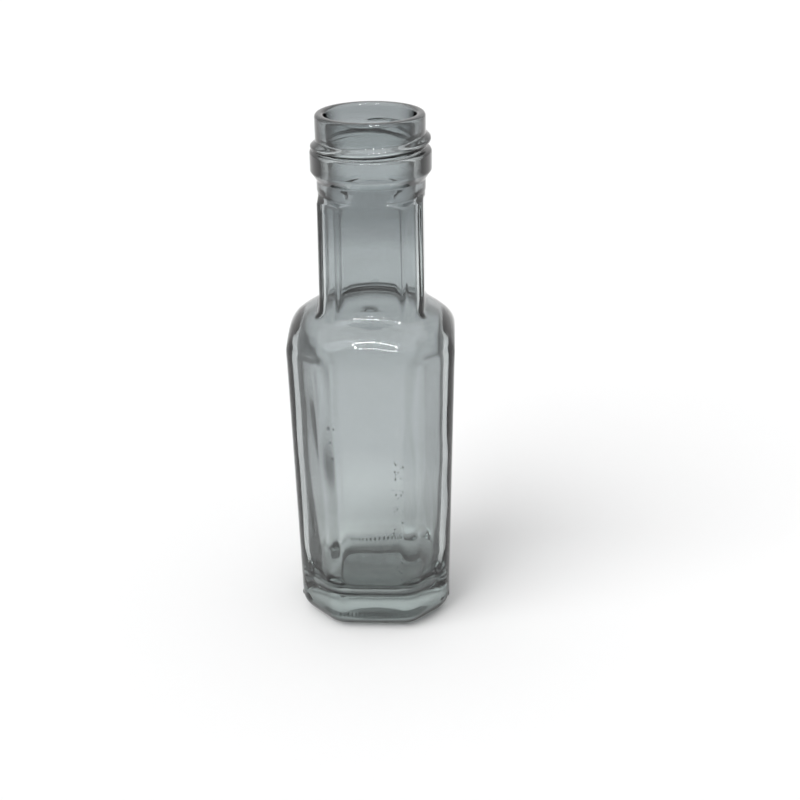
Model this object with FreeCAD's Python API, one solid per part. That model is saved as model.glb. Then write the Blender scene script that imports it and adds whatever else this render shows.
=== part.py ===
import FreeCAD, Part
import math
import os

from FreeCAD import Vector

# A small empty sauce bottle, blown in a mould in one piece of clear glass.
# The body is a square prism with flattened corners that narrows slightly to the base. A low dome
# closes it, an eight-sided neck stands on the dome, and a round screw finish ends the neck.
# The inside follows the outside, and thickens into a heavy base.
# Millimetres, +Z up, the origin under the middle of the base, the front face towards -Y.

HEIGHT = 128.2            # base to lip

# body
BASE_HALF = 19.0          # half width across the flats, extended down to the bench
SHOULDER_HALF = 20.15     # the same where the flats end
SHOULDER_Z = 76.9         # height where the middle of a flat meets the dome
CORNER_LEG = 9.1          # leg of each 45 degree corner flat
EDGE_RADIUS = 4.6         # the upright edges between the flats, at the shoulder
BASE_EDGE_RADIUS = 6.0    # the same edges, softer at the base
HEEL_RADIUS = 5.2         # rounding from the flats to the base
DOME_RIM_RADIUS = 24.5    # the dome's profile starts here, outside the corners
DOME_RIM_Z = 72.9
DOME_FOOT_RADIUS = 12.0   # and ends here, inside the neck
DOME_FOOT_Z = 83.4
DOME_RISE = 1.1           # how far its profile bulges beyond a straight slope
FLAT_TOP_ROUNDING = 4.0   # where the dome rolls over into the flats

# neck
NECK_BASE_HALF = 12.45    # half width across its flats, at the bottom
NECK_TOP_HALF = 12.1
NECK_LEG = 4.4
NECK_EDGE_RADIUS = 1.6
NECK_BOTTOM_Z = 78.0      # hidden inside the dome
NECK_TOP_Z = 110.8
NECK_FOOT_ROUNDING = 2.5
SCALLOP_TOP = (12.3, 110.1)    # radius and height where the flats run out
SCALLOP_FOOT = (15.6, 107.1)
SCALLOP_RISE = 0.4

# finish: collar, bead, thread and lip
COLLAR_RADIUS = 12.5
COLLAR_BOTTOM_Z = 109.2
BEAD_RADIUS = 14.05
BEAD_UNDER_Z = 113.0      # its sloping underside starts here
BEAD_LOW_Z = 115.3
BEAD_HIGH_Z = 120.1
BEAD_EDGE = 0.8           # rounding of its upper edge
LIP_RADIUS = 12.65
LIP_OUTER_ROUNDING = 0.8
LIP_INNER_ROUNDING = 0.9

THREAD_PITCH = 3.175
THREAD_CREST = 13.85
THREAD_WIDTH = 2.7        # at its root
THREAD_START_DEG = -50.0  # counted anticlockwise from +X
THREAD_END_DEG = 462.0
THREAD_Z_AT_ZERO = 119.15   # height of its middle where it first passes +X
THREAD_RUNOUT_DEG = 26.0
THREAD_PIECES = 2         # it is lofted in pieces of at most a turn
THREAD_STEPS = 32         # sections in each
THREAD_BURY = 0.8         # how deep its root lies in the lip's wall
CREST_SHARE = 0.4         # width of its crest over the width of its root
THREAD_END_SHARE = 0.55   # width of its root where it has faded out, over the full width
THREAD_END_RADIUS = LIP_RADIUS - THREAD_BURY / 2    # its crest there, hidden in the wall

# inside
WALL = 2.4
INNER_EDGE_RADIUS = 8.5   # upright edges, much softer than outside
DOME_WALL = 1.7
FLOOR_EDGE_RADIUS = 5.0   # the same edges where the wall is thickest
# how far the inside draws in, and at what height, from the straight wall down to the floor
HEAVY_BASE = [(0.0, 18.4), (0.3, 14.6), (0.9, 12.2), (2.0, 10.1), (3.2, 8.5), (4.3, 7.6), (5.6, 7.4)]
NECK_WALL_FOOT = 1.8
NECK_WALL_TOP = 1.9
NECK_INNER_RADIUS = 3.2   # its upright edges
NECK_INNER_BOTTOM_Z = 74.0     # hidden inside the body's hollow
THROAT_RADIUS = 10.0
THROAT_NARROWS_Z = 105.8  # where the eight-sided inside starts to turn round
THROAT_Z = 113.0          # and where it is round
BORE_FOOT_ROUNDING = 2.0  # where the neck's hollow opens into the body's
MOUTH_RADIUS = 10.45
PUSH_UP_RADIUS = 10.6     # the shallow hollow under the base
PUSH_UP_DEPTH = 0.8

HEEL_STEPS = 6
CLEARANCE = 1.0           # how far cutting shapes run past what they cut
EDGE_BAND = 3.0           # how far edges to be rounded lie from the heights beside them
ROOT_TWO = math.sqrt(2.0)
MM3_IN_ML = 1000.0


def half_width(z):
    """Half width of the body across its flats at height z."""
    return BASE_HALF + (SHOULDER_HALF - BASE_HALF) * z / SHOULDER_Z


def chamfered_square(half, leg, radius, z):
    """Closed outline at height z: a square with 45 degree corners, every corner rounded."""
    near = half - leg
    corners = [(half, -near), (half, near), (near, half), (-near, half),
               (-half, near), (-half, -near), (-near, -half), (near, -half)]
    setback = radius * math.tan(math.radians(22.5))
    bulge = radius / math.cos(math.radians(22.5)) - radius
    starts, middles, ends = [], [], []
    for i, (x, y) in enumerate(corners):
        here = Vector(x, y, z)
        before = Vector(*corners[i - 1], z)
        after = Vector(*corners[(i + 1) % 8], z)
        to_before = (before - here).normalize()
        to_after = (after - here).normalize()
        inward = (to_before + to_after).normalize()
        starts.append(here + to_before * setback)
        middles.append(here + inward * bulge)
        ends.append(here + to_after * setback)
    edges = []
    for i in range(8):
        edges.append(Part.Arc(starts[i], middles[i], ends[i]).toShape())
        edges.append(Part.LineSegment(ends[i], starts[(i + 1) % 8]).toShape())
    return Part.Wire(edges)


def edge_radius(z):
    """Radius of the body's upright edges at height z."""
    return BASE_EDGE_RADIUS + (EDGE_RADIUS - BASE_EDGE_RADIUS) * z / SHOULDER_Z


def inset_leg(leg, inset):
    """Leg of the corner flat when every side of the outline moves in by the same amount."""
    return leg - (2.0 - ROOT_TWO) * inset


def outer_prism(top):
    """The body's outside up to top: sections round the heel, then straight walls."""
    sections = []
    radius = edge_radius(HEEL_RADIUS)
    for i in range(HEEL_STEPS + 1):
        angle = math.radians(90.0 * i / HEEL_STEPS)
        inset = HEEL_RADIUS * (1.0 - math.sin(angle))
        z = HEEL_RADIUS * (1.0 - math.cos(angle))
        half = half_width(HEEL_RADIUS) - inset
        sections.append(chamfered_square(half, inset_leg(CORNER_LEG, inset), radius, z))
    heel = Part.makeLoft(sections, True, False)
    head = chamfered_square(half_width(top), CORNER_LEG, edge_radius(top), top)
    return heel.fuse(Part.makeLoft([sections[-1], head], True, True))


def inner_section(inset, z):
    """Outline of the inside at height z, where the wall is thicker by inset."""
    softening = (INNER_EDGE_RADIUS - FLOOR_EDGE_RADIUS) * inset / HEAVY_BASE[-1][0]
    leg = inset_leg(CORNER_LEG, WALL + inset)
    return chamfered_square(half_width(z) - WALL - inset, leg, INNER_EDGE_RADIUS - softening, z)


def inner_prism(top):
    """The inside up to top: the heavy base's hollow, then walls of even thickness."""
    sections = [inner_section(inset, z) for inset, z in reversed(HEAVY_BASE)]
    hollow = Part.makeLoft(sections, True, False)
    walls = Part.makeLoft([sections[-1], inner_section(0.0, top)], True, True)
    return hollow.fuse(walls)


def arc_through(first, last, rise):
    """Arc in the XZ half plane that bulges by rise to the left of the way from first to last."""
    run = (last[0] - first[0], last[1] - first[1])
    length = math.hypot(*run)
    middle = ((first[0] + last[0]) / 2 - rise * run[1] / length,
              (first[1] + last[1]) / 2 + rise * run[0] / length)
    points = [Vector(r, 0, z) for r, z in (first, middle, last)]
    return Part.Arc(*points).toShape()


def revolved(edges):
    """Solid of revolution from edges in the XZ half plane, closed along the axis."""
    profile = Part.Wire(edges)
    return Part.Face(profile).revolve(Vector(0, 0, 0), Vector(0, 0, 1), 360)


def straight(points):
    """Straight edges through points given as (radius, height)."""
    corners = [Vector(r, 0, z) for r, z in points]
    return [Part.LineSegment(a, b).toShape() for a, b in zip(corners, corners[1:])]


def quarter(first, last, centre):
    """Quarter arc in the XZ half plane from first to last about centre."""
    radius = math.hypot(first[0] - centre[0], first[1] - centre[1])
    way = (first[0] + last[0] - 2 * centre[0], first[1] + last[1] - 2 * centre[1])
    length = math.hypot(*way)
    middle = (centre[0] + radius * way[0] / length, centre[1] + radius * way[1] / length)
    return Part.Arc(*[Vector(r, 0, z) for r, z in (first, middle, last)]).toShape()


def on_rim(edge):
    """True for the arched edges where the dome meets the flats and the corners."""
    box = edge.BoundBox
    return box.ZMin > DOME_RIM_Z and box.ZMax < DOME_FOOT_Z - EDGE_BAND and box.ZLength < EDGE_BAND


def body():
    """Prism cut to the dome, which rolls over into the flats."""
    prism = outer_prism(DOME_FOOT_Z)
    arc = arc_through((DOME_FOOT_RADIUS, DOME_FOOT_Z), (DOME_RIM_RADIUS, DOME_RIM_Z), DOME_RISE)
    reach = 2.0 * SHOULDER_HALF
    outline = straight([(DOME_RIM_RADIUS, DOME_RIM_Z), (reach, DOME_RIM_Z), (reach, -CLEARANCE),
                        (0, -CLEARANCE), (0, DOME_FOOT_Z), (DOME_FOOT_RADIUS, DOME_FOOT_Z)])
    solid = prism.common(revolved([arc] + outline)).removeSplitter()
    return solid.makeFillet(FLAT_TOP_ROUNDING, [edge for edge in solid.Edges if on_rim(edge)])


def neck():
    """Eight-sided neck, whose flats run out in scallops under the round collar."""
    foot = chamfered_square(NECK_BASE_HALF, NECK_LEG, NECK_EDGE_RADIUS, NECK_BOTTOM_Z)
    head = chamfered_square(NECK_TOP_HALF, NECK_LEG, NECK_EDGE_RADIUS, NECK_TOP_Z)
    prism = Part.makeLoft([foot, head], True, True)
    scallop = arc_through(SCALLOP_TOP, SCALLOP_FOOT, SCALLOP_RISE)
    reach = 2.0 * NECK_BASE_HALF
    below = NECK_BOTTOM_Z - CLEARANCE
    outline = straight([SCALLOP_FOOT, (reach, SCALLOP_FOOT[1]), (reach, below), (0, below),
                        (0, SCALLOP_TOP[1]), SCALLOP_TOP])
    return prism.common(revolved([scallop] + outline)).removeSplitter()


def finish():
    """Collar, bead and lip, turned about the axis."""
    bead_top = (BEAD_RADIUS - BEAD_EDGE, BEAD_HIGH_Z)
    bead_side = (BEAD_RADIUS, BEAD_HIGH_Z - BEAD_EDGE)
    lip_side = (LIP_RADIUS, HEIGHT - LIP_OUTER_ROUNDING)
    lip_top = (LIP_RADIUS - LIP_OUTER_ROUNDING, HEIGHT)
    edges = straight([(0, COLLAR_BOTTOM_Z), (COLLAR_RADIUS, COLLAR_BOTTOM_Z), (COLLAR_RADIUS, BEAD_UNDER_Z),
                      (BEAD_RADIUS, BEAD_LOW_Z), bead_side])
    edges.append(quarter(bead_side, bead_top, (bead_top[0], bead_side[1])))
    edges += straight([bead_top, (LIP_RADIUS, BEAD_HIGH_Z), lip_side])
    edges.append(quarter(lip_side, lip_top, (lip_top[0], lip_side[1])))
    edges += straight([lip_top, (0, HEIGHT), (0, COLLAR_BOTTOM_Z)])
    return revolved(edges)


def thread_section(degrees):
    """Outline of the thread ridge at an angle."""
    from_end = min(degrees - THREAD_START_DEG, THREAD_END_DEG - degrees)
    share = math.sin(math.radians(90.0 * min(1.0, from_end / THREAD_RUNOUT_DEG)))
    root = LIP_RADIUS - THREAD_BURY
    crest = THREAD_END_RADIUS + (THREAD_CREST - THREAD_END_RADIUS) * share
    middle = THREAD_Z_AT_ZERO + THREAD_PITCH * degrees / 360.0
    half = THREAD_WIDTH / 2 * (THREAD_END_SHARE + (1.0 - THREAD_END_SHARE) * share)
    profile = [(root, middle - half), (crest, middle - half * CREST_SHARE),
               (crest, middle + half * CREST_SHARE), (root, middle + half)]
    turn = math.radians(degrees)
    corners = [Vector(r * math.cos(turn), r * math.sin(turn), z) for r, z in profile]
    return Part.makePolygon(corners + corners[:1])


def thread():
    """One right-handed thread ridge that grows out of the bead and fades out below the lip."""
    count = THREAD_PIECES * THREAD_STEPS
    step = (THREAD_END_DEG - THREAD_START_DEG) / count
    sections = [thread_section(THREAD_START_DEG + step * i) for i in range(count + 1)]
    pieces = [sections[k:k + THREAD_STEPS + 1] for k in range(0, count, THREAD_STEPS)]
    return [Part.makeLoft(piece, True, False) for piece in pieces]


def neck_inside():
    """The neck's hollow: eight-sided, turning round towards the throat."""
    foot = chamfered_square(NECK_BASE_HALF - NECK_WALL_FOOT, inset_leg(NECK_LEG, NECK_WALL_FOOT),
                            NECK_INNER_RADIUS, NECK_INNER_BOTTOM_Z)
    head = chamfered_square(NECK_TOP_HALF - NECK_WALL_TOP, inset_leg(NECK_LEG, NECK_WALL_TOP),
                            NECK_INNER_RADIUS, THROAT_Z)
    prism = Part.makeLoft([foot, head], True, True)
    widest = NECK_BASE_HALF
    turned = straight([(0, NECK_INNER_BOTTOM_Z), (widest, NECK_INNER_BOTTOM_Z), (widest, THROAT_NARROWS_Z),
                       (THROAT_RADIUS, THROAT_Z), (0, THROAT_Z), (0, NECK_INNER_BOTTOM_Z)])
    return prism.common(revolved(turned)).removeSplitter()


def throat():
    """The round hollow of the finish, flared to the mouth."""
    above = HEIGHT + CLEARANCE
    rounded = MOUTH_RADIUS + LIP_INNER_ROUNDING
    edges = straight([(0, THROAT_NARROWS_Z), (THROAT_RADIUS, THROAT_NARROWS_Z), (THROAT_RADIUS, THROAT_Z),
                      (MOUTH_RADIUS, HEIGHT - LIP_INNER_ROUNDING)])
    edges.append(quarter((MOUTH_RADIUS, HEIGHT - LIP_INNER_ROUNDING), (rounded, HEIGHT),
                         (rounded, HEIGHT - LIP_INNER_ROUNDING)))
    edges += straight([(rounded, HEIGHT), (rounded, above), (0, above), (0, THROAT_NARROWS_Z)])
    return revolved(edges)


def at_bore_foot(edge):
    """True for the edges where the neck's hollow meets the hollow under the dome."""
    box = edge.BoundBox
    return box.ZMin > NECK_INNER_BOTTOM_Z + EDGE_BAND and box.ZMax < DOME_FOOT_Z


def cavity():
    """The space inside: the body's hollow under an inner dome, the neck's and the throat's."""
    slope = math.atan2(DOME_FOOT_Z - DOME_RIM_Z, DOME_RIM_RADIUS - DOME_FOOT_RADIUS)
    drop = DOME_WALL / math.cos(slope)
    rim = (DOME_RIM_RADIUS, DOME_RIM_Z - drop)
    crown = (DOME_FOOT_RADIUS - EDGE_BAND, DOME_FOOT_Z - drop + EDGE_BAND * math.tan(slope))
    edges = [arc_through(crown, rim, DOME_RISE)]
    edges += straight([rim, (rim[0], 0), (0, 0), (0, crown[1]), crown])
    hollow = inner_prism(DOME_FOOT_Z).common(revolved(edges)).removeSplitter()
    hollow = hollow.fuse(neck_inside()).removeSplitter()
    hollow = hollow.makeFillet(BORE_FOOT_ROUNDING, [edge for edge in hollow.Edges if at_bore_foot(edge)])
    return hollow.fuse(throat()).removeSplitter()


def push_up():
    """Lens-shaped hollow under the base, so that the bottle stands on a rim."""
    radius = (PUSH_UP_RADIUS ** 2 + PUSH_UP_DEPTH ** 2) / (2 * PUSH_UP_DEPTH)
    return Part.makeSphere(radius, Vector(0, 0, PUSH_UP_DEPTH - radius))


def at_neck_foot(edge):
    """True for the edges where the neck's sides meet the dome."""
    box = edge.BoundBox
    return box.ZMin > SHOULDER_Z + EDGE_BAND and box.ZMax < DOME_FOOT_Z + EDGE_BAND


def bottle():
    glass = body().fuse(neck()).removeSplitter()
    glass = glass.makeFillet(NECK_FOOT_ROUNDING, [edge for edge in glass.Edges if at_neck_foot(edge)])
    glass = glass.fuse([finish()] + thread()).removeSplitter()
    return glass.cut([cavity(), push_up()]).removeSplitter()


def main():
    os.makedirs("parts", exist_ok=True)
    shape = bottle()
    glass = shape.Volume / MM3_IN_ML
    inside = cavity().Volume / MM3_IN_ML
    print("solids", len(shape.Solids), "valid", shape.isValid())
    print("glass %.1f ml, holds %.1f ml" % (glass, inside))
    shape.Solids[0].exportStep("parts/bottle.step")


main()
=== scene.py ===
import math
import bpy
import numpy as np
from mathutils import Euler, Matrix, Vector


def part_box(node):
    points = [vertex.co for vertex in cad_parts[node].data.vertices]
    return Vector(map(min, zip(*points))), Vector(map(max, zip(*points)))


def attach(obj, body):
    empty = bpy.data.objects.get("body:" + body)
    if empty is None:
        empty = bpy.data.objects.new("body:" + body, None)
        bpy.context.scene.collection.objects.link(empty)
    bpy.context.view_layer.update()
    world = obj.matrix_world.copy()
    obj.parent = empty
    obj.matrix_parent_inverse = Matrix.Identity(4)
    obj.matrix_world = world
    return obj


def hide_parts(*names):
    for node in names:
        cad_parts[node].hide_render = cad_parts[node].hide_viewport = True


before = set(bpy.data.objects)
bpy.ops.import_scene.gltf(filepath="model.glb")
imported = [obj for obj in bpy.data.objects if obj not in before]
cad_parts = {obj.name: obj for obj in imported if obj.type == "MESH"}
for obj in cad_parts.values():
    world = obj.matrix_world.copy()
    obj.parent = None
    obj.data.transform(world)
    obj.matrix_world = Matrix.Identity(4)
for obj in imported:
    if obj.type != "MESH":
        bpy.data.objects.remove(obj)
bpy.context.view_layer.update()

scene = bpy.context.scene


# Camera: held by hand a little above the bottle and close to it, so that the base is seen from
# much higher than the mouth. It stands a few degrees to the right of the front face.
MM = 0.001
CAMERA_AT = (18.7, -284.5, 190.1)     # mm
CAMERA_TILT = 64.83                   # degrees up from straight down
CAMERA_HEADING = 2.45
CAMERA_ROLL = -0.71
LENS = 56.6
SENSOR = 36.0

camera = bpy.data.objects.new("camera", bpy.data.cameras.new("camera"))
scene.collection.objects.link(camera)
camera.data.lens = LENS
camera.data.sensor_width = SENSOR
camera.data.clip_start = 0.01
facing = Euler([math.radians(a) for a in (CAMERA_TILT, 0.0, CAMERA_HEADING)]).to_matrix().to_4x4()
camera.matrix_world = (Matrix.Translation(Vector(CAMERA_AT) * MM) @ facing
                       @ Matrix.Rotation(math.radians(CAMERA_ROLL), 4, "Z"))
scene.camera = camera
scene.view_settings.view_transform = "Standard"


# Sheet: matt white paper under the bottle, running out into a white surround. The camera and the
# glass see the surround at full white. Matt things get less light from it, so that the paper keeps
# the pale shadow that the lamps throw.
SHEET_SIZE = 6.0          # metres
SURROUND_LIGHT = 0.42     # what the white surround gives to matt things
PAPER_WHITE = "#F4F4F4"


def linear(hex_colour):
    """A hex sRGB colour as linear RGBA."""
    channels = [int(hex_colour[i:i + 2], 16) / 255.0 for i in (1, 3, 5)]
    return [c / 12.92 if c <= 0.04045 else ((c + 0.055) / 1.055) ** 2.4 for c in channels] + [1.0]


def add_node(tree, kind, settings, inputs):
    """Add a node with its settings, and set or link its inputs by name or number."""
    node = tree.nodes.new(kind)
    for name, value in settings.items():
        setattr(node, name, value)
    for name, value in inputs.items():
        if isinstance(value, bpy.types.NodeSocket):
            tree.links.new(value, node.inputs[name])
        else:
            node.inputs[name].default_value = value
    return node


def new_material(name):
    material = bpy.data.materials.new(name)
    material.use_nodes = True
    material.node_tree.nodes.clear()
    return material, material.node_tree


def mesh_object(name, points, faces):
    """An object at the origin with a smooth mesh, from points in metres."""
    mesh = bpy.data.meshes.new(name)
    mesh.from_pydata([tuple(p) for p in points], [], [tuple(f) for f in faces])
    mesh.shade_smooth()
    made = bpy.data.objects.new(name, mesh)
    scene.collection.objects.link(made)
    return made


reach = SHEET_SIZE / 2
corners = [(-reach, -reach, 0), (reach, -reach, 0), (reach, reach, 0), (-reach, reach, 0)]
sheet = mesh_object("sheet", corners, [(0, 1, 2, 3)])
paper, tree = new_material("matt_white_paper")
matt = add_node(tree, "ShaderNodeBsdfDiffuse", {}, {"Color": linear(PAPER_WHITE)})
add_node(tree, "ShaderNodeOutputMaterial", {}, {"Surface": matt.outputs["BSDF"]})
sheet.data.materials.append(paper)

world = bpy.data.worlds.new("surround")
world.use_nodes = True
world.node_tree.nodes.clear()
tree = world.node_tree
path = add_node(tree, "ShaderNodeLightPath", {}, {})
seen = add_node(tree, "ShaderNodeMath", {"operation": "MAXIMUM"},
                {0: path.outputs["Is Camera Ray"], 1: path.outputs["Is Glossy Ray"]})
seen = add_node(tree, "ShaderNodeMath", {"operation": "MAXIMUM"},
                {0: seen.outputs[0], 1: path.outputs["Is Transmission Ray"]})
strength = add_node(tree, "ShaderNodeMapRange", {},
                    {"Value": seen.outputs[0], "To Min": SURROUND_LIGHT, "To Max": 1.0})
white = add_node(tree, "ShaderNodeBackground", {},
                 {"Color": linear("#FFFFFF"), "Strength": strength.outputs[0]})
add_node(tree, "ShaderNodeOutputWorld", {}, {"Surface": white.outputs[0]})
scene.world = world


# Lamps: a wide soft light from above, and a broad one at the front left that throws the shadow back
# to the right. Four narrow strips high in front are the bright window frame that the shoulder
# mirrors. The glass doesn't mirror the broad lamp, and the strips don't light the sheet.
SKY_PANEL = ((0.0, 0.0, 1.0), 90.0, 0.33)     # where it comes from, degrees wide, share of the light
WINDOW = ((-0.66, -0.62, 0.85), 48.0, 0.39)
FRAME_HEIGHT = 1.0        # metres
FRAME_NEAR, FRAME_FAR = -1.05, -0.42          # along Y
FRAME_MIDDLE = 0.05                           # along X
FRAME_HALF = 0.32
BAR_WIDTH = 0.020
SIDE_WIDTH = 0.008
BAR_GLOW = 80.0           # watts per square metre and steradian


def add_sun(name, coming_from, degrees_wide, share):
    """A distant light that gives a level white sheet this share of its full brightness."""
    data = bpy.data.lights.new(name, "SUN")
    data.angle = math.radians(degrees_wide)
    data.energy = share * math.pi / Vector(coming_from).normalized().z
    lamp = bpy.data.objects.new(name, data)
    scene.collection.objects.link(lamp)
    lamp.rotation_euler = Vector(coming_from).to_track_quat("Z", "Y").to_euler()
    return lamp


add_sun("sky_panel", *SKY_PANEL)
add_sun("window", *WINDOW).visible_glossy = False
side_y = (FRAME_NEAR + FRAME_FAR) / 2
for name, at, size in (
        ("bar_near", (FRAME_MIDDLE, FRAME_NEAR), (2 * FRAME_HALF, BAR_WIDTH)),
        ("bar_far", (FRAME_MIDDLE, FRAME_FAR), (2 * FRAME_HALF, BAR_WIDTH)),
        ("bar_left", (FRAME_MIDDLE - FRAME_HALF, side_y), (SIDE_WIDTH, FRAME_FAR - FRAME_NEAR)),
        ("bar_right", (FRAME_MIDDLE + FRAME_HALF, side_y), (SIDE_WIDTH, FRAME_FAR - FRAME_NEAR))):
    data = bpy.data.lights.new(name, "AREA")
    data.shape = "RECTANGLE"
    data.size, data.size_y = size
    data.energy = BAR_GLOW * math.pi * size[0] * size[1]
    bar = bpy.data.objects.new(name, data)
    scene.collection.objects.link(bar)
    bar.location = (*at, FRAME_HEIGHT)
    bar.visible_diffuse = False


# Bottle: one piece of clear soda-lime glass with a faint grey tint, pressed and blown. The mould
# gave the outside its eight flats and the screw finish. The inside is free-blown, so its corners
# are rounder, its walls wave a little and its base is thick. All sizes are in millimetres.
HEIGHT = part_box("bottle")[1][2] / MM

# body
SHOULDER_HALF = (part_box("bottle")[1][0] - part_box("bottle")[0][0]) / 2 / MM
TAPER = 1.15              # how much less the half width is at the base
BASE_HALF = SHOULDER_HALF - TAPER
SHOULDER_Z = 76.9
CORNER_LEG = 9.1
EDGE_RADIUS = 4.6         # of the upright edges at the shoulder
BASE_EDGE_RADIUS = 6.0    # and at the base
HEEL_RADIUS = 5.2
WALL_TOP_Z = 70.0         # the last ring of the straight outer walls
RIM_Z = 75.0              # where the plan of the dome's edge is taken
DOME_FOOT = (12.0, 83.4)  # radius and height
DOME_RIM = (24.5, 72.9)
DOME_RISE = 1.1
RIM_ROLL = 2.4            # how far the roll-over between dome and flats reaches to each side

# underside
RIM_WIDTH = 1.9           # of the flat rim that the bottle stands on
PUSH_UP_STEP = 0.15
PUSH_UP_SLOPE = 1.6
PUSH_UP_DEPTH = 0.8
PUSH_UP_RADIUS = 6.0      # of its corners
PUSH_UP_LOSS = 1.0        # how much smaller that radius is at the top of the step

# neck, counted from its hidden foot inside the dome
NECK_BASE_HALF = 12.45
NECK_TOP_HALF = 12.1
NECK_FOOT_Z = 78.0
NECK_LENGTH = 32.8
NECK_LEG = 4.4
NECK_EDGE_RADIUS = 1.6
NECK_FOOT_DRAW = 0.07     # how much less the half width is where it leaves the dome
NECK_FOOT_ROLL = 1.4
NECK_PLAIN_Z = (85.5, 106.5)      # first and last ring of its plain length
SCALLOP_TOP = (12.3, 110.1)       # radius and height
SCALLOP_FOOT = (15.6, 107.1)
SCALLOP_RISE = 0.4
SCALLOPS_Z = 107.0        # from here the rings lie close
COLLAR_RADIUS = 12.5
COLLAR_BOTTOM_Z = 109.2
COLLAR_EDGE = 0.02        # height of the sharp step under the collar
COLLAR_RINGS_Z = (109.35, 110.4)  # of the rings that still follow the neck's plan

# finish
FINISH_Z = 110.8          # the first ring above the neck's own
BEAD_RADIUS = 14.05
BEAD_UNDER_Z = 113.0
BEAD_LOW_Z = 115.3
BEAD_HIGH_Z = 120.1
BEAD_EDGE = 0.8
LIP_RADIUS = 12.65
LIP_OUTER_ROUNDING = 0.8
LIP_INNER_ROUNDING = 0.9
THREAD_PITCH = 3.175
THREAD_CREST = 13.85
THREAD_WIDTH = 2.7
THREAD_START = -50.0      # degrees anticlockwise from +X
THREAD_END = 462.0
THREAD_Z_AT_ZERO = 119.15  # height of its middle at 0 degrees
THREAD_RUNOUT = 26.0      # degrees over which it fades at each end
THREAD_END_SHARE = 0.55   # of its width where it has run out
THREAD_FLAT = 0.05        # about the share of its half width that is level at the crest
THREAD_FULLNESS = 0.7     # below 1 its sides are fuller than a sine wave
THREAD_RINGS_Z = 117.5    # from here the rings lie close
THREAD_BELOW_LIP = 1.2    # how far below the top it has ended
SLIDE_HEIGHT = 3.0        # over which the points even out round the collar

# inside
WALL = 2.4
INNER_EDGE_RADIUS = 7.0
INNER_RADIUS_LOSS = 2.0   # how much smaller that radius is at the floor
FLOOR_Z = 7.4
FLOOR_CROWN = 0.4         # the floor rises this much to its middle
FLOOR_BEND = 1.8          # rounding between the thickened wall and the floor
KNEE_RISE = 1.5           # how high it starts above the floor, in floor bends
THICKENING = 3.8          # how much the wall thickens towards the floor
THICKENING_HEIGHT = 11.0  # and over what height
THICKENING_CORNER = (0.08, 0.5)   # where its bend turns, as shares of these two
INNER_WALL_TOP_Z = 64.0
INNER_RIM_Z = 70.0        # where the plan of the inner dome's edge is taken
DOME_WALL = 1.7
INNER_RIM_ROLL = 2.2
BORE_FOOT_ROUNDING = 2.6
BORE_FOOT_Z = 82.5
NECK_WALL_TOP = 1.9
NECK_WALL_FOOT = 1.8
NECK_INNER_RADIUS = 3.2
NECK_INNER_TOP_Z = 106.5
THROAT_RADIUS = 10.0
THROAT_Z = 113.0
MOUTH_RADIUS = 10.45
WAVE = 0.16               # how far the blown walls wave in and out
CALM_BELOW_Z = 17.0
CALM_ABOVE_Z = 70.0
CALM_FADES = (8.0, 6.0)   # over which the waves grow, up from the one and down from the other

# the neck stands a little to the right of the middle
NECK_LEAN = 0.5
LEAN_FROM_Z = 79.0
LEAN_OVER = 8.0

FLAT_POINTS = 12          # of the mesh, along each flat
CORNER_POINTS = 10        # and round each edge between two
ROUND = 8 * (FLAT_POINTS + CORNER_POINTS)
PUSH_UP_POLE = 0.04       # share of the push-up's top that its smallest ring takes
FLOOR_POLE_RADIUS = 0.4   # of the floor's smallest ring
ROOT_TWO = math.sqrt(2.0)
EIGHTH = math.radians(45)


def half_width(z):
    return BASE_HALF + (SHOULDER_HALF - BASE_HALF) * z / SHOULDER_Z


def edge_radius(z):
    return BASE_EDGE_RADIUS + (EDGE_RADIUS - BASE_EDGE_RADIUS) * z / SHOULDER_Z


def inset_leg(leg, inset):
    """Leg of the corner flat when every side of the plan moves in by the same amount."""
    return leg - (2.0 - ROOT_TWO) * inset


def eight_sided(half, leg, radius):
    """Points in plan, as complex numbers, round a square with 45 degree corners, corners rounded."""
    end = half - leg - radius * math.tan(EIGHTH / 2)
    flat = half + 1j * end * np.linspace(-1, 1, FLAT_POINTS + 2)[1:-1]
    turn = np.linspace(0, EIGHTH, CORNER_POINTS)
    low_arc = complex(half - radius, end) + radius * np.exp(1j * turn)
    high_arc = complex(end, half - radius) + radius * np.exp(1j * (turn + EIGHTH))
    slant = np.linspace(low_arc[-1], high_arc[0], FLAT_POINTS + 2)[1:-1]
    quarter = np.concatenate([flat, low_arc, slant, high_arc])
    return np.concatenate([quarter * 1j ** k for k in range(4)])


# directions evenly spaced round the axis, in step with the points of the eight-sided plans
around = np.exp(2j * np.pi * (np.arange(ROUND) - (FLAT_POINTS - 1) / 2) / ROUND)


def arc_circle(first, last, rise):
    """Centre, as radius and height, and radius of the arc that bulges by rise between two points."""
    a, b = complex(*first), complex(*last)
    chord = abs(b - a)
    radius = (chord ** 2 / 4 + rise ** 2) / (2 * rise)
    centre = (a + b) / 2 + 1j * (b - a) / chord * (rise - radius)
    return centre, abs(radius)


dome_centre, dome_radius = arc_circle(DOME_RIM, DOME_FOOT, -DOME_RISE)


def dome(r, drop=0.0):
    """Height of the dome, or of the inner dome that lies lower by drop, at a radius."""
    return dome_centre.imag - drop + np.sqrt(dome_radius ** 2 - (r - dome_centre.real) ** 2)


def eased(t):
    """A share from 0 to 1 that starts and ends gently."""
    return t * t * (3 - 2 * t)


rings = []


def ring_points(plan, z):
    return np.stack([plan.real, plan.imag, np.broadcast_to(z, plan.shape)], axis=1)


def add_ring(plan, z):
    """Add a ring of points from its plan and its height or heights."""
    rings.append(ring_points(plan, z))


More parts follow.
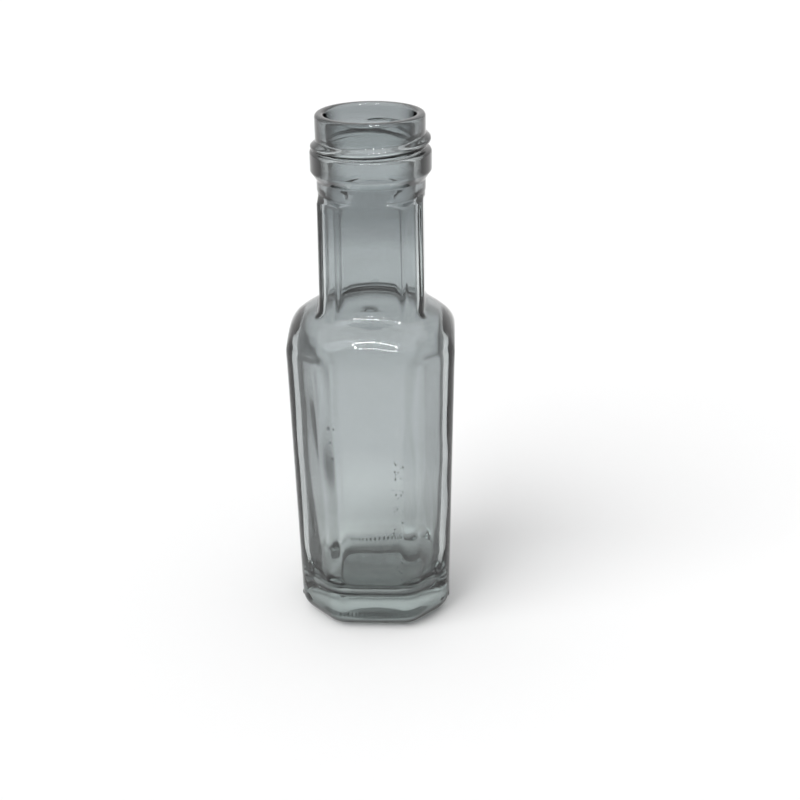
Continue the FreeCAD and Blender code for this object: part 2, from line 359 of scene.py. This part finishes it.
def add_corner(first, corner, last, steps):
    """Add rings round a rounded corner between three rings of points."""
    turn_in = (corner - first) / np.linalg.norm(corner - first, axis=1, keepdims=True)
    turn_out = (last - corner) / np.linalg.norm(last - corner, axis=1, keepdims=True)
    weight = np.sqrt((1 + np.sum(turn_in * turn_out, axis=1, keepdims=True)) / 2)
    for t in np.linspace(0, 1, steps + 1):
        a, b, c = (1 - t) ** 2, 2 * t * (1 - t) * weight, t ** 2
        rings.append((a * first + b * corner + c * last) / (a + b + c))


# underside: the eight-sided push-up, then the flat rim that the bottle stands on
heel_half = half_width(HEEL_RADIUS)


def base_plan(inset, radius):
    """Plan at the base, drawn in by inset from the outside of the walls."""
    return eight_sided(heel_half - inset, inset_leg(CORNER_LEG, inset), radius)


rim_outline = base_plan(HEEL_RADIUS, PUSH_UP_RADIUS)
push_up_edge = base_plan(HEEL_RADIUS + RIM_WIDTH, PUSH_UP_RADIUS)
push_up_top = base_plan(HEEL_RADIUS + RIM_WIDTH + PUSH_UP_SLOPE, PUSH_UP_RADIUS - PUSH_UP_LOSS)
for t in np.linspace(PUSH_UP_POLE, 1, 14):
    add_ring(push_up_top * t, PUSH_UP_STEP + (PUSH_UP_DEPTH - PUSH_UP_STEP) * (1 - t * t))
for t in np.linspace(0, 1, 9)[1:]:
    add_ring(push_up_top * (1 - t) + push_up_edge * t, PUSH_UP_STEP * (1 - eased(t)))
for t in np.linspace(0, 1, 4)[1:-1]:
    add_ring(push_up_edge * (1 - t) + rim_outline * t, 0.0)

# heel and walls
for angle in np.radians(np.linspace(0, 90, 17)):
    add_ring(base_plan(HEEL_RADIUS * (1 - math.sin(angle)), edge_radius(HEEL_RADIUS)),
             HEEL_RADIUS * (1 - math.cos(angle)))


def outer_plan(z):
    return eight_sided(half_width(z), CORNER_LEG, edge_radius(z))


for z in np.linspace(HEEL_RADIUS, WALL_TOP_Z, 26)[1:]:
    add_ring(outer_plan(z), z)

# roll-over, dome and neck foot
rim_plan = outer_plan(RIM_Z)
rim_z = dome(np.abs(rim_plan))
neck_foot_plan = eight_sided(NECK_BASE_HALF - NECK_FOOT_DRAW, NECK_LEG, NECK_EDGE_RADIUS)
inward = (neck_foot_plan - rim_plan) / np.abs(neck_foot_plan - rim_plan)
dome_start = rim_plan + inward * RIM_ROLL
add_corner(ring_points(rim_plan, rim_z - RIM_ROLL), ring_points(rim_plan, rim_z),
           ring_points(dome_start, dome(np.abs(dome_start))), 8)
dome_end = neck_foot_plan - inward * NECK_FOOT_ROLL
for t in np.linspace(0, 1, 26)[1:-1]:
    plan = dome_start * (1 - t) + dome_end * t
    add_ring(plan, dome(np.abs(plan)))
foot_z = dome(np.abs(neck_foot_plan))
add_corner(ring_points(dome_end, dome(np.abs(dome_end))), ring_points(neck_foot_plan, foot_z),
           ring_points(neck_foot_plan, foot_z + NECK_FOOT_ROLL), 8)

# neck up to the scallops and the collar
scallop_centre, scallop_radius = arc_circle(SCALLOP_TOP, SCALLOP_FOOT, SCALLOP_RISE)


def scallop(z):
    """Radius of the turned cut that ends the flats, at a height."""
    if z < SCALLOP_FOOT[1]:
        return SHOULDER_HALF
    return scallop_centre.real + math.sqrt(max(0.0, scallop_radius ** 2 - (z - scallop_centre.imag) ** 2))


def neck_plan(z):
    share = (z - NECK_FOOT_Z) / NECK_LENGTH
    return eight_sided(NECK_BASE_HALF + (NECK_TOP_HALF - NECK_BASE_HALF) * share, NECK_LEG, NECK_EDGE_RADIUS)


def cut_radius(z):
    """Radii of the neck's plan at a height, cut by the scallops."""
    return np.minimum(np.abs(neck_plan(z)), scallop(z))


def neck_directions(z):
    return neck_plan(z) / np.abs(neck_plan(z))


for z in np.concatenate([np.linspace(*NECK_PLAIN_Z, 12), np.linspace(SCALLOPS_Z, COLLAR_BOTTOM_Z, 14)]):
    add_ring(neck_directions(z) * cut_radius(z), z)
add_ring(neck_directions(COLLAR_BOTTOM_Z) * np.maximum(COLLAR_RADIUS, cut_radius(COLLAR_BOTTOM_Z)),
         COLLAR_BOTTOM_Z + COLLAR_EDGE)
for z in np.linspace(*COLLAR_RINGS_Z, 6):
    above = z >= SCALLOP_TOP[1]
    add_ring(neck_directions(z) * np.maximum(COLLAR_RADIUS, 0.0 if above else cut_radius(z)), z)


# finish: the rest of the collar, the bead and the lip with its thread
def quarter_round(radius, top, rounding, z):
    """Radius at a height within the rounding of a turned part's upper edge."""
    return radius - rounding + math.sqrt(max(0.0, rounding ** 2 - (z - top + rounding) ** 2))


def finish_radius(z):
    """Radius of the turned finish without its thread."""
    if z < BEAD_UNDER_Z:
        return COLLAR_RADIUS
    if z < BEAD_LOW_Z:
        share = (z - BEAD_UNDER_Z) / (BEAD_LOW_Z - BEAD_UNDER_Z)
        return COLLAR_RADIUS + (BEAD_RADIUS - COLLAR_RADIUS) * share
    if z < BEAD_HIGH_Z - BEAD_EDGE:
        return BEAD_RADIUS
    if z < BEAD_HIGH_Z:
        return quarter_round(BEAD_RADIUS, BEAD_HIGH_Z, BEAD_EDGE, z)
    if z < HEIGHT - LIP_OUTER_ROUNDING:
        return LIP_RADIUS
    return quarter_round(LIP_RADIUS, HEIGHT, LIP_OUTER_ROUNDING, z)


def thread_radius(degrees, z):
    """Radius of the lip with its helical ridge, at an angle and height."""
    ridge = np.zeros_like(degrees)
    for turn in range(-1, 3):
        along = degrees + 360.0 * turn
        inside = (along >= THREAD_START) & (along <= THREAD_END)
        from_end = np.minimum(along - THREAD_START, THREAD_END - along)
        share = np.sin(np.radians(90.0 * np.clip(from_end / THREAD_RUNOUT, 0.0, 1.0)))
        middle = THREAD_Z_AT_ZERO + THREAD_PITCH * along / 360.0
        half = THREAD_WIDTH / 2 * (THREAD_END_SHARE + (1 - THREAD_END_SHARE) * share)
        off = np.clip(np.abs(z - middle) / half * (1 + THREAD_FLAT) - THREAD_FLAT, 0, 1)
        profile = ((1 + np.cos(np.pi * off)) / 2) ** THREAD_FULLNESS
        ridge = np.maximum(ridge, np.where(inside, (THREAD_CREST - LIP_RADIUS) * share * profile, 0.0))
    return LIP_RADIUS + ridge


lip_side_z = HEIGHT - LIP_OUTER_ROUNDING
heights = np.concatenate([
    np.linspace(FINISH_Z, BEAD_UNDER_Z, 8),
    np.linspace(BEAD_UNDER_Z, BEAD_LOW_Z, 10)[1:],
    np.linspace(BEAD_LOW_Z, THREAD_RINGS_Z, 6)[1:],
    np.linspace(THREAD_RINGS_Z, lip_side_z, 66)[1:],
    lip_side_z + LIP_OUTER_ROUNDING * np.sin(np.radians(np.linspace(0, 90, 9)[1:]))])
neck_top_z = COLLAR_RINGS_Z[1]
for z in heights:
    slide = min(1.0, (z - neck_top_z) / SLIDE_HEIGHT)
    direction = neck_directions(neck_top_z) * (1 - slide) + around * slide
    direction = direction / np.abs(direction)
    threaded = z < HEIGHT - THREAD_BELOW_LIP
    ridge = thread_radius(np.degrees(np.angle(direction)), z) if threaded else 0.0
    add_ring(direction * np.maximum(finish_radius(z), ridge), z)

# inside, from the top: lip and mouth
mouth_z = HEIGHT - LIP_INNER_ROUNDING
for angle in np.radians(np.linspace(0, 90, 9)):
    add_ring(around * (MOUTH_RADIUS + LIP_INNER_ROUNDING * (1 - math.sin(angle))),
             HEIGHT - LIP_INNER_ROUNDING * (1 - math.cos(angle)))
for z in np.linspace(mouth_z, THROAT_Z, 12)[1:]:
    share = (z - THROAT_Z) / (mouth_z - THROAT_Z)
    add_ring(around * (THROAT_RADIUS + (MOUTH_RADIUS - THROAT_RADIUS) * share), z)


# throat and bore
def neck_inside(z):
    """Plan of the neck's inside: eight-sided like the outside, with softer corners."""
    share = (NECK_INNER_TOP_Z - z) / (NECK_INNER_TOP_Z - DOME_FOOT[1])
    wall = NECK_WALL_TOP + (NECK_WALL_FOOT - NECK_WALL_TOP) * share
    half = NECK_TOP_HALF + (NECK_BASE_HALF - NECK_TOP_HALF) * share - wall
    return eight_sided(half, inset_leg(NECK_LEG, wall), NECK_INNER_RADIUS)


for t in np.linspace(0, 1, 12)[1:]:
    add_ring(around * THROAT_RADIUS * (1 - eased(t)) + neck_inside(NECK_INNER_TOP_Z) * eased(t),
             THROAT_Z + (NECK_INNER_TOP_Z - THROAT_Z) * t)
for z in np.linspace(NECK_INNER_TOP_Z, BORE_FOOT_Z, 14)[1:-1]:
    add_ring(neck_inside(z), z)


# inner dome, with its rounded edges to the bore and to the walls
def waves(z):
    """How far the inside waves in and out at a height: two uneven patterns of freely chosen lengths."""
    turn = np.angle(around)
    long_wave = np.sin(3 * turn + z / 9.0 + 0.7) * np.cos(z / 13.0 + 2 * turn)
    short_wave = np.sin(z / 4.1 + 5 * turn + 1.9) * np.cos(7 * turn - z / 6.3)
    grown_up, grown_down = (z - CALM_BELOW_Z) / CALM_FADES[0], (CALM_ABOVE_Z - z) / CALM_FADES[1]
    return WAVE * np.clip(min(grown_up, grown_down), 0.0, 1.0) * (long_wave + 0.6 * short_wave)


def inner_plan(z):
    plan = eight_sided(half_width(z) - WALL, inset_leg(CORNER_LEG, WALL), INNER_EDGE_RADIUS)
    return plan * (1 + waves(z) / SHOULDER_HALF)


slope = math.atan2(DOME_FOOT[1] - DOME_RIM[1], DOME_RIM[0] - DOME_FOOT[0])
drop = DOME_WALL / math.cos(slope)
bore_plan = neck_inside(DOME_FOOT[1] - 2)
bore_foot_z = dome(np.abs(bore_plan), drop)
inner_rim_plan = inner_plan(INNER_RIM_Z)
outward = (inner_rim_plan - bore_plan) / np.abs(inner_rim_plan - bore_plan)
bore_foot_end = bore_plan + outward * BORE_FOOT_ROUNDING
add_corner(ring_points(bore_plan, bore_foot_z + BORE_FOOT_ROUNDING), ring_points(bore_plan, bore_foot_z),
           ring_points(bore_foot_end, dome(np.abs(bore_foot_end), drop)), 12)
inner_dome_end = inner_rim_plan - outward * INNER_RIM_ROLL
for t in np.linspace(0, 1, 20)[1:-1]:
    plan = bore_foot_end * (1 - t) + inner_dome_end * t
    add_ring(plan, dome(np.abs(plan), drop))
inner_rim_z = dome(np.abs(inner_rim_plan), drop)
add_corner(ring_points(inner_dome_end, dome(np.abs(inner_dome_end), drop)),
           ring_points(inner_rim_plan, inner_rim_z),
           ring_points(inner_rim_plan, inner_rim_z - INNER_RIM_ROLL), 10)

# inner walls
thick_end_z = FLOOR_Z + THICKENING_HEIGHT
for z in np.linspace(INNER_WALL_TOP_Z, thick_end_z, 46):
    add_ring(inner_plan(z), z)


# heavy base and floor
def bend(first, corner, last, steps):
    """Points (inset, height) along a smooth bend, without its first point."""
    t = np.linspace(0, 1, steps + 1)[1:, None]
    return (1 - t) ** 2 * np.array(first) + 2 * t * (1 - t) * np.array(corner) + t ** 2 * np.array(last)


steep = (THICKENING * THICKENING_CORNER[0], FLOOR_Z + THICKENING_HEIGHT * THICKENING_CORNER[1])
knee = (THICKENING - FLOOR_BEND, FLOOR_Z + FLOOR_BEND * KNEE_RISE)
slant = (knee[1] - steep[1]) / (knee[0] - steep[0])
foot = (knee[0] + (FLOOR_Z - knee[1]) / slant, FLOOR_Z)
floor_edge = (foot[0] + FLOOR_BEND, FLOOR_Z)


def base_inside(inset, z):
    """Plan of the inside where the wall is thicker by inset."""
    radius = INNER_EDGE_RADIUS - INNER_RADIUS_LOSS * inset / floor_edge[0]
    return eight_sided(half_width(z) - WALL - inset, inset_leg(CORNER_LEG, WALL + inset), radius)


for inset, z in np.vstack([bend((0.0, thick_end_z), steep, knee, 20), bend(knee, foot, floor_edge, 10)]):
    add_ring(base_inside(inset, z), z)
for t in np.linspace(0, 1, 12)[1:]:
    add_ring(base_inside(*floor_edge) * (1 - t) + around * FLOOR_POLE_RADIUS * t,
             FLOOR_Z + FLOOR_CROWN * eased(t))

# all rings joined to one closed skin, with a pole under the base and one on the floor
points = np.concatenate(rings + [[[0, 0, PUSH_UP_DEPTH], [0, 0, FLOOR_Z + FLOOR_CROWN]]])
points[:, 0] += NECK_LEAN * eased(np.clip((points[:, 2] - LEAN_FROM_Z) / LEAN_OVER, 0, 1))
here = np.arange(ROUND)
after = np.roll(here, -1)
faces = []
for low in range(0, (len(rings) - 1) * ROUND, ROUND):
    faces += zip(low + here, low + after, low + ROUND + after, low + ROUND + here)
last = (len(rings) - 1) * ROUND
first_pole, last_pole = len(points) - 2, len(points) - 1
faces += zip(after, here, np.full(ROUND, first_pole))
faces += zip(last + here, last + after, np.full(ROUND, last_pole))
bottle = mesh_object("bottle_glass", points * MM, [[int(v) for v in face] for face in faces])

# Soda-lime glass, fire-polished: clear with a grey-green tint. Up the height the tints also hold painted
# light and shade, in lighter and darker bands, and painted shade closes the colour to near black where a
# surface is seen edge on. Each tint stands with the share of the height where it lies.
TINTS_AND_PAINTED_LIGHT = ((0.0, "#F6F9F8"), (0.008, "#B2B8B7"), (0.045, "#B2B8B7"), (0.058, "#F4F8F7"), (0.10, "#DEE3E2"),
         (0.18, "#E8ECEC"), (0.26, "#D6DADB"), (0.55, "#D2D6D7"), (0.60, "#C4C9CA"), (0.655, "#B8BDBE"),
         (0.718, "#DADFE0"), (0.76, "#C6CBCC"), (0.80, "#AEB3B5"), (0.835, "#A7ACAE"), (0.864, "#B8BDBF"),
         (0.887, "#B4B9BB"), (0.907, "#DCE1E2"), (0.945, "#ECF0F0"), (0.962, "#A2A8AA"), (0.98, "#989EA0"),
         (1.0, "#989EA0"))
EDGE_SHADE = 0.0          # what is left of the light at a surface seen edge on
# Up the height: how far a surface turns away before the painted edge shade begins, and where it is darkest.
# The bead's painted shade starts soonest, where its sides are solid glass.
PAINTED_EDGE_SHADE_RAMP = ((0.0, 0.15, 0.7), (0.045, 0.15, 0.7), (0.06, 0.14, 0.85), (0.60, 0.14, 0.85), (0.64, 0.40, 1.0),
         (0.83, 0.40, 1.0), (0.86, 0.20, 0.8), (0.899, 0.20, 0.8), (0.903, 0.05, 0.46), (0.93, 0.05, 0.46),
         (0.94, 0.15, 0.6), (1.0, 0.20, 0.75))

# the mould's chilled skin, pebbled on the shoulder: it breaks the mirrored lamps into sparkles
PEBBLE_SIZE = 0.9         # mm
PEBBLE_DEPTH = 0.05
# share of the height, and how strong the pebbling is there
PEBBLED = ((0.0, 0.04), (0.54, 0.04), (0.585, 0.3), (0.64, 0.3), (0.67, 0.04), (1.0, 0.04))

REFRACTION = 1.52
BODY_TINT = "#BAC3C2"
BODY_DENSITY = 45.0       # per metre

glass, tree = new_material("soda_lime_glass_fire_polished")
place = add_node(tree, "ShaderNodeTexCoord", {}, {})
axes = add_node(tree, "ShaderNodeSeparateXYZ", {}, {"Vector": place.outputs["Object"]})
height = add_node(tree, "ShaderNodeMapRange", {}, {"Value": axes.outputs["Z"], "From Max": HEIGHT * MM})


def add_ramp(steps):
    """A colour ramp over the height, from pairs of position and linear colour."""
    ramp = add_node(tree, "ShaderNodeValToRGB", {}, {"Fac": height.outputs[0]})
    for position, colour in steps[1:-1]:
        ramp.color_ramp.elements.new(position)
    for element, (position, colour) in zip(ramp.color_ramp.elements, steps):
        element.position, element.color = position, colour
    return ramp


# the glass's own tint, with painted light and shade in bands up the height
tint_and_painted_light = add_ramp([(position, linear(colour)) for position, colour in TINTS_AND_PAINTED_LIGHT])
edges = add_ramp([(position, (start, end, 0.0, 1.0)) for position, start, end in PAINTED_EDGE_SHADE_RAMP])
edges = add_node(tree, "ShaderNodeSeparateColor", {}, {"Color": edges.outputs["Color"]})
edge_on = add_node(tree, "ShaderNodeLayerWeight", {}, {"Blend": 0.5})
# painted shade: darkens the glass's colour where a surface is seen edge on
shade = add_node(tree, "ShaderNodeMapRange", {"interpolation_type": "SMOOTHSTEP"},
                 {"Value": edge_on.outputs["Facing"], "From Min": edges.outputs["Red"],
                  "From Max": edges.outputs["Green"], "To Min": 1.0, "To Max": EDGE_SHADE})
shaded = add_node(tree, "ShaderNodeVectorMath", {"operation": "SCALE"},
                  {0: tint_and_painted_light.outputs["Color"], "Scale": shade.outputs[0]})
pebble = add_node(tree, "ShaderNodeTexNoise", {}, {
    "Vector": place.outputs["Object"], "Scale": 1 / (PEBBLE_SIZE * MM), "Detail": 2.0})
pebbled = add_ramp([(position, (share, share, share, 1.0)) for position, share in PEBBLED])
chill = add_node(tree, "ShaderNodeBump", {}, {
    "Height": pebble.outputs[0], "Strength": pebbled.outputs["Color"], "Distance": PEBBLE_DEPTH * MM})
clear = add_node(tree, "ShaderNodeBsdfPrincipled", {}, {
    "Base Color": shaded.outputs[0], "Roughness": 0.0, "IOR": REFRACTION, "Transmission Weight": 1.0,
    "Normal": chill.outputs[0]})
body_tint = add_node(tree, "ShaderNodeVolumeAbsorption", {},
                     {"Color": linear(BODY_TINT), "Density": BODY_DENSITY})
add_node(tree, "ShaderNodeOutputMaterial", {},
         {"Surface": clear.outputs["BSDF"], "Volume": body_tint.outputs["Volume"]})
bottle.data.materials.append(glass)
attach(bottle, "root")
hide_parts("bottle")


# Knurling: a row of short upright ridges low on each of the four flats, at the top of the heel.
# They come from cuts in the mould and stand a tenth of a millimetre out of the glass.
TICKS = 18
TICK_PITCH = 1.0
TICK_SIZE = (0.5, 0.6, 1.5)       # along the row, through the wall, and high
TICK_OUT = 0.1            # how far they stand out
TICK_Z = 4.7


def node_group(name, inputs):
    """An empty geometry node group with named inputs, and its input and output nodes."""
    group = bpy.data.node_groups.new(name, "GeometryNodeTree")
    group.interface.new_socket("Geometry", in_out="OUTPUT", socket_type="NodeSocketGeometry")
    for label, kind in inputs:
        group.interface.new_socket(label, in_out="INPUT", socket_type=kind)
    return group, group.nodes.new("NodeGroupInput"), group.nodes.new("NodeGroupOutput")


def unit_ball(group):
    """A coarse ball, one unit across."""
    return add_node(group, "GeometryNodeMeshUVSphere", {}, {"Segments": 8, "Rings": 6, "Radius": 0.5})


def hand_out(group, given, result, instances):
    """Let the group give out its instances as one mesh of the given material."""
    real = add_node(group, "GeometryNodeRealizeInstances", {}, {"Geometry": instances})
    coated = add_node(group, "GeometryNodeSetMaterial", {}, {
        "Geometry": real.outputs["Geometry"], "Material": given.outputs["Material"]})
    group.links.new(coated.outputs["Geometry"], result.inputs[0])


def grown(name, group, values):
    """An object whose mesh is what the node group makes with these values."""
    made = mesh_object(name, [], [])
    modifier = made.modifiers.new(name, "NODES")
    modifier.node_group = group
    for item in group.interface.items_tree:
        if item.in_out == "INPUT":
            modifier[item.identifier] = values[item.name]
    evaluated = made.evaluated_get(bpy.context.evaluated_depsgraph_get())
    mesh = bpy.data.meshes.new_from_object(evaluated)
    made.modifiers.clear()
    made.data = mesh
    mesh.shade_smooth()
    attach(made, "root")
    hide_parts("bottle")
    return made


rows, given, result = node_group("knurl_rows", [
    ("Count", "NodeSocketInt"), ("Start", "NodeSocketVector"), ("Step", "NodeSocketVector"),
    ("Size", "NodeSocketVector"), ("Material", "NodeSocketMaterial")])
line = add_node(rows, "GeometryNodeMeshLine", {}, {
    "Count": given.outputs["Count"], "Start Location": given.outputs["Start"],
    "Offset": given.outputs["Step"]})
row = add_node(rows, "GeometryNodeInstanceOnPoints", {}, {
    "Points": line.outputs["Mesh"], "Instance": unit_ball(rows).outputs["Mesh"],
    "Scale": given.outputs["Size"]})
sides = add_node(rows, "GeometryNodeMeshLine", {}, {"Count": 4, "Offset": (0.0, 0.0, 0.0)})
number = add_node(rows, "GeometryNodeInputIndex", {}, {})
turn = add_node(rows, "ShaderNodeMath", {"operation": "MULTIPLY"}, {0: number.outputs[0], 1: math.pi / 2})
turned = add_node(rows, "ShaderNodeCombineXYZ", {}, {"Z": turn.outputs[0]})
rim = add_node(rows, "GeometryNodeInstanceOnPoints", {}, {
    "Points": sides.outputs["Mesh"], "Instance": row.outputs["Instances"], "Rotation": turned.outputs[0]})
hand_out(rows, given, result, rim.outputs["Instances"])
tick_face = half_width(TICK_Z) + TICK_OUT - TICK_SIZE[1] / 2
grown("bottle_knurling", rows, {
    "Count": TICKS, "Start": (-TICK_PITCH * (TICKS - 1) / 2 * MM, -tick_face * MM, TICK_Z * MM),
    "Step": (TICK_PITCH * MM, 0.0, 0.0), "Size": tuple(v * MM for v in TICK_SIZE), "Material": glass})


# Seeds: tiny gas bubbles left in the glass, drawn out upright as it was blown. A trail of them
# rises in the front wall on the right, and a few larger ones lie on the left.
SEED_BALL = (0.26, 0.20, 0.36)    # mm across, through the wall, and high
SEED_SPREAD = (0.35, 1.6)         # how much smaller or larger than that they come
# name, place across and up, width and height of the strip, seeds per square mm, random seed, scale
SEED_STRIPS = (("bottle_seed_trail", 6.6, 31.0, 2.6, 36.0, 0.60, 11, 1.15),
               ("bottle_seeds_left", -9.2, 52.0, 2.0, 16.0, 0.12, 7, 2.2))

seeds, given, result = node_group("seed_trail", [
    ("Middle", "NodeSocketVector"), ("Tilt", "NodeSocketVector"), ("Width", "NodeSocketFloat"),
    ("Height", "NodeSocketFloat"), ("Density", "NodeSocketFloat"), ("Seed", "NodeSocketInt"),
    ("Size", "NodeSocketVector"), ("Material", "NodeSocketMaterial")])
strip = add_node(seeds, "GeometryNodeMeshGrid", {}, {
    "Size X": given.outputs["Width"], "Size Y": given.outputs["Height"], "Vertices X": 2, "Vertices Y": 2})
placed = add_node(seeds, "GeometryNodeTransform", {}, {
    "Geometry": strip.outputs["Mesh"], "Translation": given.outputs["Middle"],
    "Rotation": given.outputs["Tilt"]})
spots = add_node(seeds, "GeometryNodeDistributePointsOnFaces", {}, {
    "Mesh": placed.outputs["Geometry"], "Density": given.outputs["Density"], "Seed": given.outputs["Seed"]})
spread = add_node(seeds, "FunctionNodeRandomValue", {"data_type": "FLOAT"}, {
    2: SEED_SPREAD[0], 3: SEED_SPREAD[1], "Seed": given.outputs["Seed"]})
scaled = add_node(seeds, "ShaderNodeVectorMath", {"operation": "SCALE"}, {
    0: given.outputs["Size"], "Scale": spread.outputs[1]})
drops = add_node(seeds, "GeometryNodeInstanceOnPoints", {}, {
    "Points": spots.outputs["Points"], "Instance": unit_ball(seeds).outputs["Mesh"],
    "Scale": scaled.outputs[0]})
hand_out(seeds, given, result, drops.outputs["Instances"])
for name, x, z, width, high, density, seed, size in SEED_STRIPS:
    mid_wall = -(half_width(z) - WALL / 2)
    grown(name, seeds, {
        "Middle": (x * MM, mid_wall * MM, z * MM), "Tilt": (math.pi / 2, 0.0, 0.0), "Width": width * MM,
        "Height": high * MM, "Density": density / MM ** 2, "Seed": seed,
        "Size": tuple(v * size * MM for v in SEED_BALL), "Material": glass})
